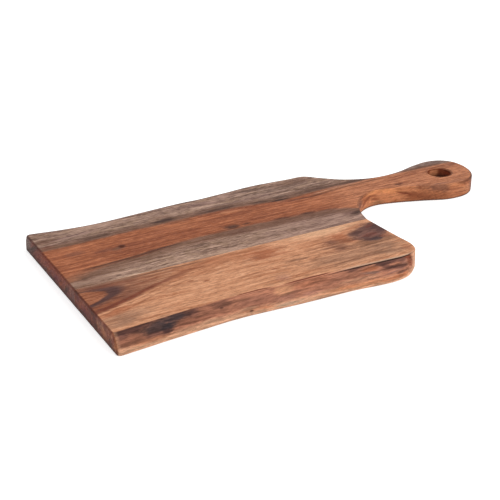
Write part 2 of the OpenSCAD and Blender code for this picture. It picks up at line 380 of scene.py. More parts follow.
class Figure:
    """The figure of a plank in nodes, from the ground colour up: streaks, stains, knots and wear."""

    def __init__(self, name):
        self.material = bpy.data.materials.new(name)
        self.material.use_nodes = True
        self.tree = self.material.node_tree
        self.tree.nodes.clear()
        spot = self.node("ShaderNodeTexCoord").outputs["Object"]
        self.place = self.vector("MULTIPLY_ADD", spot, (1000, 1000, 1000), tuple(MIDDLE))
        self.x, self.y, self.z = self.parts(self.place)
        self.worn, self.live, self.side = (self.painted(title) for title in ("worn", "live", "side"))

    def node(self, kind, **settings):
        """A new node with its settings."""
        made = self.tree.nodes.new(kind)
        for key, value in settings.items():
            setattr(made, key, value)
        return made

    def feed(self, socket, value):
        """Links a socket to another one, or sets its value."""
        if isinstance(value, bpy.types.NodeSocket):
            self.tree.links.new(value, socket)
        else:
            socket.default_value = value

    def calc(self, operation, *values):
        """A sum on numbers."""
        made = self.node("ShaderNodeMath", operation=operation)
        for socket, value in zip(made.inputs, values):
            self.feed(socket, value)
        return made.outputs[0]

    def vector(self, operation, *values):
        """A sum on vectors."""
        made = self.node("ShaderNodeVectorMath", operation=operation)
        for socket, value in zip(made.inputs, values):
            self.feed(socket, value)
        return made.outputs["Value" if operation in ("LENGTH", "DOT_PRODUCT") else "Vector"]

    def parts(self, vector):
        """The x, y and z of a vector."""
        made = self.node("ShaderNodeSeparateXYZ")
        self.feed(made.inputs[0], vector)
        return made.outputs

    def join(self, x, y, z):
        """A vector from its x, y and z."""
        made = self.node("ShaderNodeCombineXYZ")
        for socket, value in zip(made.inputs, (x, y, z)):
            self.feed(socket, value)
        return made.outputs[0]

    def even(self, value):
        """A plain light or dark shade."""
        made = self.node("ShaderNodeCombineColor")
        for socket in made.inputs:
            self.feed(socket, value)
        return made.outputs[0]

    def painted(self, title):
        """A share that the mesh holds for each of its points."""
        return self.node("ShaderNodeAttribute", attribute_name=title).outputs["Fac"]

    def ease(self, value, start, stop, low=0.0, high=1.0):
        """A soft step: low where value is at start, high where it is at stop."""
        made = self.node("ShaderNodeMapRange", interpolation_type="SMOOTHSTEP")
        for socket, given in zip(made.inputs, (value, start, stop, low, high)):
            self.feed(socket, given)
        return made.outputs[0]

    def both(self, *shares):
        """The share where all the given shares meet."""
        share = shares[0]
        for other in shares[1:]:
            share = self.calc("MULTIPLY", share, other)
        return share

    def streak(self, length, width, shift=0.0, detail=2.0, rough=0.5):
        """Streaks of about that length and width, in mm, that run with the grain."""
        made = self.node("ShaderNodeTexNoise")
        squeeze = (1 / length, 1 / width, 1 / width)
        stretch = self.vector("MULTIPLY_ADD", self.grain, squeeze, (shift, shift, shift))
        for title, value in (("Vector", stretch), ("Scale", 1.0), ("Detail", detail), ("Roughness", rough)):
            self.feed(made.inputs[title], value)
        return made.outputs[0]

    def lay_grain(self, across, shift):
        """Streaks of every size along the grain, which wanders a little across the plank."""
        self.across = across
        self.grain = self.join(self.x, across, self.z)
        drift = self.calc("MULTIPLY_ADD", self.streak(75, 16, shift), 6.0, -3.0)
        self.grain_y = self.calc("ADD", across, drift)
        self.grain = self.join(self.x, self.grain_y, self.z)
        # Length and width in mm, a shift of its own, detail and roughness of each kind of streak.
        self.broad = self.streak(85, 7, shift + 3.1, 3)
        self.middling = self.streak(27, 2.3, shift + 7.7, 3, 0.65)
        self.fine = self.streak(8, 1.3, shift + 11.3, 3, 0.7)
        self.blotch = self.streak(15, 6, shift + 15.7, 3, 0.6)
        self.scuff = self.streak(5, 2.4, shift + 21.9, 3, 0.65)
        drawn = self.calc("MULTIPLY", self.streak(150, 2.6, shift + 27.3, 2), 0.2)
        drawn = self.calc("MULTIPLY_ADD", self.middling, 0.35, drawn)
        drawn = self.calc("MULTIPLY_ADD", self.fine, 0.45, drawn)
        self.weave = self.ease(drawn, 0.38, 0.62)
        ragged = self.calc("MULTIPLY_ADD", self.blotch, 1.2, -1.25)
        ragged = self.calc("MULTIPLY_ADD", self.middling, 0.8, ragged)
        self.fray = self.calc("MULTIPLY_ADD", self.scuff, 0.5, ragged)
        self.pores = self.ease(self.streak(4.5, 0.6, shift + 19.0, 1), 0.58, 0.68)
        waver = self.calc("MULTIPLY_ADD", self.blotch, 0.4, -0.2)
        self.x, self.across = self.calc("ADD", self.x, waver), self.calc("ADD", across, waver)
        self.spot = self.join(self.x, self.across, self.z)
        self.place = self.vector("ADD", self.place, self.join(waver, waver, waver))

    def course(self, points):
        """The y of a line through (x, y) points."""
        xs, ys = zip(*points)
        low, high = min(ys) - 1, max(ys) + 1
        along = self.node("ShaderNodeMapRange")
        for socket, value in zip(along.inputs, (self.x, xs[0], xs[-1], 0.0, 1.0)):
            self.feed(socket, value)
        made = self.node("ShaderNodeFloatCurve")
        self.feed(made.inputs["Value"], along.outputs[0])
        line = made.mapping.curves[0]
        spots = [((x - xs[0]) / (xs[-1] - xs[0]), (y - low) / (high - low)) for x, y in points]
        line.points[0].location, line.points[1].location = spots[0], spots[-1]
        for spot in spots[1:-1]:
            line.points.new(*spot)
        made.mapping.update()
        return self.calc("MULTIPLY_ADD", made.outputs[0], high - low, low)

    def tint(self, base, colour, share, way="MIX"):
        """A colour laid over the base by a share of it."""
        made = self.node("ShaderNodeMix", data_type="RGBA", blend_type=way)
        for slot, value in ((0, share), (6, base), (7, colour)):
            self.feed(made.inputs[slot], value)
        return made.outputs[2]

    def stain(self, base, colour, strength, spot, axes, place, reach, turn, core, fray):
        """A patch about a place on two axes, with its reach along each, turned by so many degrees.
        It is full inside the core, which is a share of the reach, and fray makes its rim ragged."""
        lean = math.radians(turn)
        rows = np.zeros((3, 3))
        rows[0, axes[0]], rows[0, axes[1]] = math.cos(lean) / reach[0], math.sin(lean) / reach[0]
        rows[1, axes[0]], rows[1, axes[1]] = -math.sin(lean) / reach[1], math.cos(lean) / reach[1]
        centre = np.zeros(3)
        centre[axes[0]], centre[axes[1]] = place
        if turn:
            from_place = self.vector("SUBTRACT", spot, tuple(centre))
            away = self.join(*(self.vector("DOT_PRODUCT", from_place, tuple(row)) for row in rows[:2]), 0.0)
        else:
            scale = rows[0] + rows[1]
            away = self.vector("MULTIPLY_ADD", spot, tuple(scale), tuple(-scale * centre))
        away = self.calc("MULTIPLY_ADD", self.fray, fray, self.vector("LENGTH", away))
        return self.tint(base, colour, self.ease(away, 1.0, core, 0.0, strength))

    def mark(self, base, colour, strength, x, y, length, width, turn=0.0, core=0.2, fray=0.8):
        """A stain or streak of the faces, which goes down into the plank with the grain."""
        reach = (length, width)
        return self.stain(base, colour, strength, self.spot, (0, 1), (x, y), reach, turn, core, fray)

    def side_mark(self, base, colour, strength, x, z, length, height, turn=0.0, core=0.3, fray=0.8):
        """A stain of a long side of the plank."""
        reach = (length, height)
        return self.stain(base, colour, strength, self.place, (0, 2), (x, z), reach, turn, core, fray)

    def end_mark(self, base, colour, strength, y, z, width, height, turn=0.0, core=0.2, fray=0.9):
        """A stain of the straight end of the plank."""
        reach = (width, height)
        return self.stain(base, colour, strength, self.place, (1, 2), (y, z), reach, turn, core, fray)

    def line(self, base, colour, strength, points, width, fray=0.6):
        """A growth line along (x, y) points, fading out where it ends short of the ends of the board."""
        drift = self.calc("MULTIPLY_ADD", self.broad, 3.0, -1.5)
        off = self.calc("SUBTRACT", self.calc("ADD", self.across, drift), self.course(points))
        away = self.calc("DIVIDE", self.calc("ABSOLUTE", off), width)
        away = self.calc("MULTIPLY_ADD", self.fray, fray, away)
        share = self.ease(away, 1.0, 0.1, 0.0, strength)
        fade = 0.2 * (points[-1][0] - points[0][0])
        for spot, sign in ((points[0][0], 1), (points[-1][0], -1)):
            if FADE_FROM < spot < FADE_TO:
                ending = self.ease(self.x, spot - sign, spot + sign * (1 + fade))
                share = self.calc("MULTIPLY", share, ending)
        return self.tint(base, colour, share)

    def sawn_end(self, look, at_end, marks, red, foot):
        """The end grain of the straight end: red, blotched, marked, darker towards its foot and gritty."""
        cut = self.tint(look, END_RED, red)
        cut = self.tint(cut, WINE, self.ease(self.blotch, 0.42, 0.62, 0.0, 0.6))
        for mark in marks:
            cut = self.end_mark(cut, *mark)
        cut = self.tint(cut, SMOKE, self.ease(self.z, 7.5, 3.0, 0.0, foot))
        grit = self.ease(self.scuff, 0.36, 0.64, 0.8, 1.2)
        return self.tint(look, self.tint(cut, self.even(grit), 1.0, "MULTIPLY"), at_end)

    def grained(self, look):
        """The light and dark of the grain over the whole figure."""
        shade = self.calc("MULTIPLY_ADD", self.weave, 0.38, 0.8)
        return self.tint(look, self.even(shade), 1.0, "MULTIPLY")

    def finish(self, colour, piece):
        """Oiled and rubbed down to a soft satin: the pores stay open and dark."""
        colour = self.tint(colour, SMOKE, self.calc("MULTIPLY", self.pores, 0.3))
        rough = self.calc("MULTIPLY_ADD", self.weave, -0.16, 0.68)
        height = self.calc("MULTIPLY_ADD", self.pores, -0.6, self.fine)
        bump = self.node("ShaderNodeBump")
        bump.inputs["Strength"].default_value = 0.35
        bump.inputs["Distance"].default_value = 0.0003
        self.feed(bump.inputs["Height"], height)
        oiled = self.node("ShaderNodeBsdfPrincipled")
        oiled.inputs["Specular IOR Level"].default_value = 0.1
        self.feed(oiled.inputs["Base Color"], colour)
        self.feed(oiled.inputs["Roughness"], rough)
        self.feed(oiled.inputs["Normal"], bump.outputs[0])
        out = self.node("ShaderNodeOutputMaterial")
        self.feed(out.inputs["Surface"], oiled.outputs[0])
        piece.data.materials.append(self.material)


ORANGE = tone(172, 102, 67)
DEEP_ORANGE = tone(140, 78, 50)
PEACH = tone(192, 126, 90)
EMBER = tone(168, 98, 64)
HAZEL = tone(116, 72, 56)
GREY = tone(116, 86, 71)
PALE_GREY = tone(190, 154, 134)
DRIFT = tone(104, 76, 63)
PALE_DRIFT = tone(180, 146, 128)
UMBER = tone(108, 70, 51)
SMOKE = tone(60, 38, 32)
RUST = tone(122, 60, 40)
PLUM = tone(104, 68, 60)
CHALK = tone(222, 184, 156)
GOLD = tone(214, 140, 98)
END_RED = tone(118, 58, 44)
WINE = tone(98, 44, 46)
SLATE = tone(110, 92, 86)
OLIVE = tone(150, 118, 90)
LILAC = tone(146, 112, 106)
COCOA = tone(84, 42, 28)
BRICK = tone(126, 56, 34)
# A bright amber for the painted highlights on the handle's side.
AMBER_HIGHLIGHT = tone(238, 156, 104)

# The figure slants down through the plank, so the same bands show on the top and on the sawn end.
wood = Figure("wide_plank_wood")
deep = wood.calc("SUBTRACT", THICK, wood.z)
slant = wood.ease(wood.y, 40.0, 88.0, -0.6, -1.5)
wood.lay_grain(wood.calc("MULTIPLY_ADD", deep, slant, wood.y), 0.0)

# Three bands of colour: orange heartwood, the drift grey of the back and the warmer grey beside the joint.
orange = wood.tint(DEEP_ORANGE, ORANGE, wood.ease(wood.broad, 0.3, 0.6))
orange = wood.tint(orange, PEACH, wood.ease(wood.x, 275.0, 345.0, 0.0, 0.88))
ripple = wood.calc("MULTIPLY_ADD", wood.broad, 16.0, wood.calc("MULTIPLY", wood.grain_y, 1.15))
orange = wood.tint(orange, RUST, wood.ease(wood.calc("SINE", ripple), 0.2, 1.0, 0.0, 0.3))
orange = wood.tint(orange, RUST, wood.ease(wood.weave, 0.5, 0.0, 0.0, 0.4))
orange = wood.tint(orange, GOLD, wood.ease(wood.weave, 0.6, 1.0, 0.0, 0.3))
drift = wood.tint(DRIFT, PALE_DRIFT, wood.weave)
drift = wood.tint(drift, OLIVE, wood.ease(wood.blotch, 0.48, 0.62, 0.0, 0.35))
drift = wood.tint(drift, LILAC, wood.ease(wood.broad, 0.5, 0.62, 0.0, 0.35))
drift = wood.tint(drift, SLATE, wood.ease(wood.x, 400.0, 440.0, 0.0, 0.45))
grey = wood.tint(GREY, PALE_GREY, wood.weave)
grey = wood.tint(grey, OLIVE, wood.ease(wood.blotch, 0.48, 0.62, 0.0, 0.35))
grey = wood.tint(grey, LILAC, wood.ease(wood.x, 150.0, 280.0, 0.0, 0.35))

# The borders of the bands wander along the plank and are ragged.
back_border = wood.course([
    (0, 86), (30, 86), (60, 87), (120, 89), (170, 90), (200, 89.5), (220, 87.5), (235, 85.5),
    (250, 82.5), (260, 81.5), (270, 82.5), (300, 85), (340, 86), (425, 85.5), (488, 84.5),
])
past_back = wood.calc("SUBTRACT", wood.across, back_border)
past_back = wood.calc("MULTIPLY_ADD", wood.fray, 3.5, past_back)
inner_border = wood.course([
    (0, 20), (20, 27), (45, 32), (75, 34.5), (100, 38), (150, 44), (185, 44), (230, 42),
    (260, 41), (290, 37), (302, 34), (316, 27), (330, 16), (345, 5), (488, 0),
])
past_inner = wood.calc("SUBTRACT", inner_border, wood.across)
past_inner = wood.calc("MULTIPLY_ADD", wood.fray, 6.0, past_inner)
soft = wood.ease(wood.x, 15.0, 70.0, 0.35, 1.0)
past_inner = wood.calc("MULTIPLY", past_inner, soft)
near_back = wood.both(wood.ease(past_back, 14.0, 4.0, 0.0, 0.7), wood.ease(wood.x, 430.0, 390.0))
drift = wood.tint(drift, UMBER, near_back)
grey = wood.tint(grey, UMBER, wood.ease(past_inner, 22.0, 5.0, 0.0, 0.75))
look = wood.tint(orange, drift, wood.ease(past_back, -3.5, 2.5))
look = wood.tint(look, grey, wood.ease(past_inner, -3.5, 4.0))

# Stains and streaks: colour, strength, x, y, length, width and turn in degrees.
BACK_MARKS = [
    (SMOKE, 0.85, 130, 95, 20, 5.5, 0), (SMOKE, 0.5, 58, 92, 22, 6, 0),
    (SMOKE, 0.65, 188, 93.5, 30, 5, 0), (SMOKE, 0.6, 238, 88.5, 16, 4.5, -4),
    (SMOKE, 0.9, 257, 84, 14, 3, 0), (SMOKE, 0.6, 262, 91, 18, 5, 3), (SMOKE, 0.55, 305, 90, 36, 5, 0),
    (SMOKE, 0.6, 350, 90, 26, 5, 0), (RUST, 0.7, 267, 75.5, 9, 3.0, 0), (SMOKE, 0.45, 246, 121, 34, 4, 1),
    (UMBER, 0.5, 290, 118, 50, 12, 0), (PALE_GREY, 0.5, 60, 117, 55, 6, -2),
    (PALE_GREY, 0.5, 180, 107, 16, 3, 0), (PALE_GREY, 0.45, 106, 106, 12, 2.6, 0),
    (PALE_GREY, 0.4, 268, 98, 12, 2.4, 0), (RUST, 0.4, 75, 57, 55, 11, 0), (PLUM, 0.4, 26, 67, 14, 9, 0),
    (PLUM, 0.35, 56, 60, 16, 5, 0), (RUST, 0.3, 8, 91, 14, 7, 0), (RUST, 0.35, 135, 55, 34, 9, 0),
    (GOLD, 0.2, 136, 77, 40, 8, 0), (GOLD, 0.3, 30, 80, 36, 5, 0), (SMOKE, 0.85, 181, 48.5, 13, 6, 0),
    (SMOKE, 0.75, 198, 48.5, 7, 3, 8), (PLUM, 0.5, 180, 36, 14, 7, 0),
    (SMOKE, 0.65, 234, 42.5, 12, 3, -3), (SMOKE, 0.75, 264, 41, 13, 3.6, 0),
    (SMOKE, 0.5, 288, 37.5, 14, 3, -8), (UMBER, 0.55, 205, 35, 110, 9, -1),
    (SMOKE, 0.35, 138, 27, 14, 3, 0), (PALE_GREY, 0.5, 36, 10, 26, 8, 0),
    (PALE_GREY, 0.5, 226, 20, 14, 3, 0), (PALE_GREY, 0.55, 6, 8, 16, 7, 0),
    (SMOKE, 0.4, 15, 14, 4, 2.4, 0), (SMOKE, 0.4, 45, 6.5, 3.6, 2.4, 0),
    (CHALK, 0.75, 56, 0.6, 28, 1.5, 0), (CHALK, 0.45, 108, 4.5, 32, 2.2, 0),
    (SMOKE, 0.85, 307, 18, 12, 5, 10), (PLUM, 0.4, 298, 20, 12, 7, 0),
    (SMOKE, 0.95, 391, 58.5, 9, 3.2, 0), (RUST, 0.5, 397, 59.5, 16, 3.0, 4),
    (PLUM, 0.4, 478, 78, 10, 7, -20), (PLUM, 0.3, 452, 36, 16, 4, 0), (GREY, 0.3, 252, 14, 60, 12, 0),
    (SLATE, 0.25, 268, 112, 52, 12, 0), (UMBER, 0.5, 133, 104, 18, 5, 0), (UMBER, 0.6, 8, 104, 20, 9, 0),
    (PALE_GREY, 0.5, 19, 6, 12, 5, 0), (PEACH, 0.4, 4, 18, 12, 6, 0), (PEACH, 0.75, 198, 82, 24, 4, -6),
    (PLUM, 0.6, 431, 38, 14, 4, -10), (RUST, 0.35, 115, 73, 26, 7, 0), (UMBER, 0.4, 275, 94, 14, 4, 0),
    (UMBER, 0.4, 140, 87, 26, 6, -4), (UMBER, 0.4, 127, 42, 16, 3, 0), (GREY, 0.3, 200, 7, 22, 5, 0),
    (UMBER, 0.85, 444, 86, 52, 4.6, 0),
]
for mark in BACK_MARKS:
    look = wood.mark(look, *mark)

# The small knot is a dark heart in a brown ring.
look = wood.mark(look, UMBER, 0.85, 66, 58.5, 10, 5, 8, core=0.2, fray=0.5)
look = wood.mark(look, COCOA, 0.95, 70.3, 60.5, 5.2, 4.2, 20, core=0.5, fray=0.3)

# Growth lines: colour, strength, (x, y) points and width.
BACK_LINES = [
    (SMOKE, 0.75, [(12, 31), (30, 31.5), (45, 33), (70, 34.8), (100, 38), (135, 41)], 2.6),
    (RUST, 0.5, [(0, 40.5), (25, 40), (60, 43), (110, 46)], 2.2),
    (SMOKE, 0.55, [(250, 80), (285, 75.5), (300, 76.5), (320, 78.8), (345, 80.3), (400, 80.5)], 2.0),
    (CHALK, 0.35, [(290, 79.5), (305, 80.5), (330, 83.2), (355, 83.8)], 1.6),
    (RUST, 0.6, [(380, 69), (400, 72.5), (415, 74.5), (440, 73), (487, 70)], 1.8),
    (RUST, 0.5, [(370, 75), (400, 77.5), (425, 80), (450, 79.5), (487, 77)], 1.8),
    (RUST, 0.4, [(330, 66), (360, 68), (400, 66), (436, 64)], 1.8),
    (RUST, 0.35, [(345, 60), (375, 62), (420, 54), (470, 50)], 2.0),
    (RUST, 0.35, [(420, 49), (440, 47), (465, 46), (486, 54)], 1.8),
    (RUST, 0.5, [(398, 46), (408, 46.3), (424, 45)], 1.5),
]
for growth_line in BACK_LINES:
    look = wood.line(look, *growth_line)

# The sawn side of the handle, which faces the front: colour, strength, x, z, length, height and turn. The
# two amber marks are painted highlights.
flank = wood.tint(GOLD, EMBER, wood.ease(wood.blotch, 0.42, 0.66, 0.0, 0.7))
HANDLE_MARKS = [
    (HAZEL, 0.75, 325, 9, 12, 14, 0), (HAZEL, 0.65, 332, 12, 9, 8, 0), (EMBER, 0.85, 342, 14, 8, 7, 20),
    (RUST, 0.7, 349, 12.5, 6, 3, 30), (RUST, 0.6, 341, 8, 9, 4, 30), (OLIVE, 0.4, 362, 4, 10, 3, 0),
    (RUST, 0.55, 359, 8.2, 9, 2.4, -10), (RUST, 0.5, 356, 12.6, 8, 2.6, -10),
    (AMBER_HIGHLIGHT, 0.85, 374, 15, 20, 4, -8), (RUST, 0.75, 392, 10.8, 17, 1.7, -14),
    (RUST, 0.55, 404, 7.5, 24, 5, -14), (DEEP_ORANGE, 0.65, 412, 6, 30, 9, 0),
    (HAZEL, 0.5, 412, 16, 14, 4, 0), (RUST, 0.5, 408, 16, 2.4, 3, 0), (PLUM, 0.65, 428, 15.6, 17, 7, -6),
    (DEEP_ORANGE, 0.5, 436, 5, 18, 6, 0), (PEACH, 0.7, 460, 8, 22, 8, 0),
    (RUST, 0.55, 445, 11.2, 14, 2.4, -4), (RUST, 0.5, 456, 6.5, 20, 1.2, -4),
    (RUST, 0.6, 465, 15.4, 14, 3.8, 0), (AMBER_HIGHLIGHT, 0.75, 354, 16.2, 14, 3.2, 0),
    (HAZEL, 0.4, 431, 11.5, 17, 3, -6),
]
for mark in HANDLE_MARKS:
    flank = wood.side_mark(flank, *mark)
# Painted shade: the side turns hazel round the tip of the knob, and goes dark along its foot under the lower
# arris.
flank = wood.tint(flank, HAZEL, wood.ease(wood.x, 464.0, 476.0, 0.0, 0.9))
flank = wood.tint(flank, SMOKE, wood.ease(wood.z, 3.2, 0.8, 0.0, 0.7))
sawn = wood.both(wood.ease(wood.x, 312.0, 326.0), wood.side, wood.ease(wood.y, 75.0, 60.0))
look = wood.tint(look, flank, sawn)

# The wall of the hole carries painted light and shade: a painted lit patch towards the back edge, painted
# shade on the far side towards the tip of the knob and deep down, and a darker red strip along its top.
from_hole = wood.vector("SUBTRACT", wood.place, (HOLE[0], HOLE[1], 0.0))
from_hole = wood.vector("LENGTH", wood.vector("MULTIPLY", from_hole, (1.0, 1.0, 0.0)))
bored = wood.ease(from_hole, HOLE_R + 0.4, HOLE_R + 0.1)
far_side_shade = wood.ease(wood.x, HOLE[0] + 5.2, HOLE[0] + 8.7)
bore_wall = wood.tint(ORANGE, RUST, wood.ease(wood.blotch, 0.4, 0.6, 0.5, 0.9))
lit_x = wood.ease(wood.x, HOLE[0] - 4.8, HOLE[0] - 0.8)
lit_wall = wood.both(lit_x, wood.ease(wood.y, HOLE[1] + 3.3, HOLE[1] + 7.3))
bore_wall = wood.tint(bore_wall, GOLD, wood.both(lit_wall, 0.95))
bore_wall = wood.tint(bore_wall, BRICK, wood.both(far_side_shade, 0.9))
deep_down = wood.ease(wood.z, THICK - 4.0, THICK - 10.0)
deep_shade = wood.both(deep_down, wood.ease(wood.x, HOLE[0] + 0.2, HOLE[0] + 9.2, 0.4, 1.0))
bore_wall = wood.tint(bore_wall, COCOA, deep_shade)
dark_shade = wood.both(far_side_shade, wood.ease(wood.z, THICK - 6.5, THICK - 10.0, 0.0, 0.7))
bore_wall = wood.tint(bore_wall, SMOKE, dark_shade)
bore_wall = wood.tint(bore_wall, BRICK, wood.ease(wood.z, THICK - 3.0, THICK - 1.8, 0.0, 0.55))
look = wood.tint(look, bore_wall, bored)

# The sawn end: colour, strength, y, z, width, height and turn.
BACK_END_MARKS = [
    (SLATE, 0.85, 125, 10, 15, 16, 0), (SMOKE, 0.85, 110, 10.5, 17, 4.5, -31),
    (SMOKE, 0.6, 98, 16.8, 9, 2.6, 0), (WINE, 0.5, 96, 5, 12, 5, -31), (SMOKE, 0.7, 76, 4, 8, 4, -31),
    (WINE, 0.85, 48, 8, 17, 6, -31), (BRICK, 0.9, 60, 15.5, 42, 4.5, 0), (SMOKE, 0.55, 58, 3, 12, 3, 0),
    (SMOKE, 0.75, 21, 8, 14, 4.5, -34), (SLATE, 0.4, 3, 9, 9, 8, -20),
]
END_BAND = (1.9, 0.7)
at_end = wood.ease(wood.x, *END_BAND)
look = wood.sawn_end(look, at_end, BACK_END_MARKS, red=0.72, foot=0.72)
look = wood.grained(look)

# The arrises are painted darker, partly as wear and partly as painted shade on their rounding, less so on
# the neck, where the hand keeps them clean. Along the front of the knob the arris gets more painted shade.
rubbed = wood.ease(wood.blotch, 0.35, 0.6, 0.2, 0.5)
neck = wood.both(wood.ease(wood.x, 335.0, 360.0), wood.ease(wood.x, 465.0, 445.0))
rubbed = wood.both(rubbed, wood.calc("MULTIPLY_ADD", neck, -0.85, 1.0))
rub = wood.tint(SMOKE, COCOA, wood.both(at_end, wood.ease(wood.y, 104.0, 92.0)))
look = wood.tint(look, rub, wood.both(wood.worn, rubbed))
knob_rim_shade = wood.both(wood.worn, wood.ease(wood.x, 444.0, 456.0), wood.ease(wood.y, 62.0, 50.0))
look = wood.tint(look, COCOA, wood.both(knob_rim_shade, wood.ease(wood.z, 14.0, 16.0), 0.5))
wood.finish(look, back_plank)

# Glue line: the thin film of cured glue that holds the two planed edges together.
# It was scraped and sanded flush with the faces.
# The profile of its two ends follows the sanded arrises, as (z, inset). It stays shy of them by a hair.
FILM_SHY = 0.02
FILM_STEPS = 40
FILM_PROFILE = [
    (0.0, LOW_ARRIS), (0.5, 0.6), (LOW_ARRIS, 0.0),
    (THICK - TOP_ARRIS, 0.0), (THICK - 0.4, 0.5), (THICK, TOP_ARRIS),
]
film = Skin()
film_rings = []
for z, inset in FILM_PROFILE:
    xs = np.linspace(inset + FILM_SHY, END_X - inset - FILM_SHY, FILM_STEPS)
    front_face = [(x, -GLUE / 2, z) for x in xs]
    back_face = [(x, GLUE / 2, z) for x in xs[::-1]]
    film_rings.append(film.add(front_face + back_face))
film.wrap(film_rings)
low, high = film_rings[0], film_rings[-1]
for i in range(FILM_STEPS - 1):
    j = len(low) - 1 - i
    film.faces.append((low[j], low[j - 1], low[i + 1], low[i]))
    film.faces.append((high[i], high[i + 1], high[j - 1], high[j]))
glue_film = film.make("glue_film")
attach(glue_film, "root")
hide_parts("glue_line")

RESIN = tone(150, 108, 80)
PALE_RESIN = tone(196, 158, 128)
resin = Figure("cured_glue")
resin.lay_grain(resin.y, 40.0)
cured = resin.tint(RESIN, PALE_RESIN, resin.weave)
scraped = resin.ease(resin.z, THICK - 1.2, THICK - 0.2, 0.0, 0.35)
resin.finish(resin.tint(cured, CHALK, scraped), glue_film)

# Front plank: the narrower plank, glued to the other's planed edge, with a round corner beside the handle.
# Its front is the live edge of the tree, leaning in towards the top, with a crack under the crease that is
# painted dark as its shadow.
FRONT_LEAN = 9
FRONT_END_Y = -94.2
FRONT_EDGE = [
    (END_CORNER, FRONT_END_Y, FRONT_LEAN), (62.4, -90.1, FRONT_LEAN), (120.12, -87.8, FRONT_LEAN),
    (174.72, -91.19, 9.45), (227.76, -93.43, 11), (270, -97.5, 13),
]
FRONT_CORNER = [
    (288.48, -94.78, 9.36), (300.24, -87.22, 3.64), (308.64, -78.45, 0.78),
    (312, -67.26, 0), (310.74, -47.6, 0),
]
front_joint = -GLUE / 2
front_corner_y = FRONT_END_Y + END_CORNER
front_corner = rounded(front_corner_y, 180, FRONT_LEAN)
front_line = flowing(FRONT_EDGE + FRONT_CORNER + [(END_X, front_joint, 0)])
front_end = straight((0, front_joint, 0), (0, front_corner_y, FRONT_LEAN))
front_path = np.vstack([front_end, front_corner, front_line])

# The crack: its depth at each x, and the share of that depth at each z.
CRACK_DEPTH = [(105, 0), (150, 0.25), (185, 0.4), (240, 0.8), (296, 1.6), (306, 0)]
CRACK_SHARE = [(9.0, 0), (13.5, 0.3), (16.4, 0.9), (17.1, 1.0), (17.6, 0)]
SANDED_TO = 16.0


def live_edge(x, z, lean):
    """The sanded live edge, with the crack that opens under its crease towards the round corner."""
    depth = np.interp(x, *zip(*CRACK_DEPTH))
    share = np.interp(z, *zip(*CRACK_SHARE))
    return sanded(x, z, lean) * (z < SANDED_TO) - depth * share


front_pits = [
    (97.0, -35.0, 2.6, 1.0, 0.5), (110.0, -41.0, 2.8, 1.0, 0.5), (175.0, -52.0, 4.0, 1.0, 0.5),
    (66.5, -30.0, 2.0, 0.8, 0.2),
]
front_plank = plank("narrow_plank", front_path, front_joint, live_edge, front_pits, crisp=0.65)
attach(front_plank, "root")
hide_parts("front_plank")

HONEY = tone(214, 152, 114)
TAN = tone(184, 120, 84)
PALE = tone(228, 176, 138)
DARK_PLUM = tone(82, 52, 48)
CHAR = tone(60, 49, 51)
GREIGE = tone(150, 112, 90)
BARK = tone(178, 118, 92)
MAUVE = tone(172, 120, 102)
SAPWOOD = tone(222, 168, 134)

# Pale honey sapwood with its stains: colour, strength, x, y, length, width and turn.
wood = Figure("narrow_plank_wood")
wood.lay_grain(wood.y, 2.3)
look = wood.tint(TAN, HONEY, wood.ease(wood.broad, 0.28, 0.55))
look = wood.tint(look, GREIGE, wood.ease(wood.blotch, 0.52, 0.7, 0.0, 0.3))
look = wood.tint(look, PALE, wood.ease(wood.weave, 0.6, 1.0, 0.0, 0.45))
look = wood.tint(look, DEEP_ORANGE, wood.ease(wood.weave, 0.45, 0.0, 0.0, 0.26))
FRONT_MARKS = [
    (TAN, 0.9, 132, -10, 78, 15, 0), (PALE, 0.85, 252, -4, 62, 13, -3),
    (EMBER, 0.85, 178, -17, 28, 13, -3), (DEEP_ORANGE, 0.75, 171, -24, 16, 5, -8),
    (GREIGE, 0.5, 252, -62, 75, 22, 0), (TAN, 0.6, 245, -24, 22, 12, 0),
    (HAZEL, 0.5, 248, -35, 20, 20, 0), (HAZEL, 0.65, 247, -28, 11, 7, 0),
    (HAZEL, 0.6, 250, -43, 12, 8, 0), (HAZEL, 0.4, 240, -38, 30, 2.4, 0),
    (HAZEL, 0.4, 246, -48, 26, 2.4, 0), (EMBER, 0.8, 261, -22, 17, 11, -10),
    (DEEP_ORANGE, 0.6, 262, -32, 14, 8, 0), (EMBER, 0.5, 286, -10, 26, 5, 12),
    (GREIGE, 0.5, 285, -58, 30, 14, 0), (UMBER, 0.65, 199, -44.5, 22, 3.2, 0),
    (UMBER, 0.45, 203, -37, 9, 2.6, 0), (UMBER, 0.4, 268, -68, 22, 5, 0),
    (UMBER, 0.45, 222, -62, 30, 2.6, 0), (UMBER, 0.45, 276, -55, 28, 2.6, 0),
    (UMBER, 0.45, 240, -70, 30, 2.4, 0), (UMBER, 0.4, 215, -53, 24, 2.4, 0),
    (GREIGE, 0.55, 22, -65, 34, 12, 4), (TAN, 0.7, 24, -52, 30, 5, 8), (MAUVE, 0.5, 170, -69, 11, 8, 0),
    (EMBER, 0.5, 303, -72, 8, 9, 0), (TAN, 0.5, 152, -20, 14, 9, 0), (TAN, 0.45, 220, -22, 26, 10, 0),
    (UMBER, 0.3, 50, -60, 22, 2.4, 2), (TAN, 0.6, 110, -24, 34, 6, 8), (EMBER, 0.55, 183, -26, 28, 7, 3),
    (EMBER, 0.7, 14, -55.5, 26, 6.5, 10), (GREIGE, 0.65, 14, -75, 26, 8, 4),
    (GREIGE, 0.6, 288, -73, 20, 8, 0), (UMBER, 0.25, 191, -50, 16, 4, 0),
    (EMBER, 0.55, 90, -23.5, 18, 4, 17), (EMBER, 0.4, 267, -37, 9, 6, 0),
    (EMBER, 0.4, 271, -15, 10, 5, 0), (HONEY, 0.4, 217, -67, 14, 4, 0), (EMBER, 0.35, 128, -8, 12, 4, 0),
    (UMBER, 0.24, 12, -66, 24, 12, 8),
]
for mark in FRONT_MARKS:
    look = wood.mark(look, *mark)

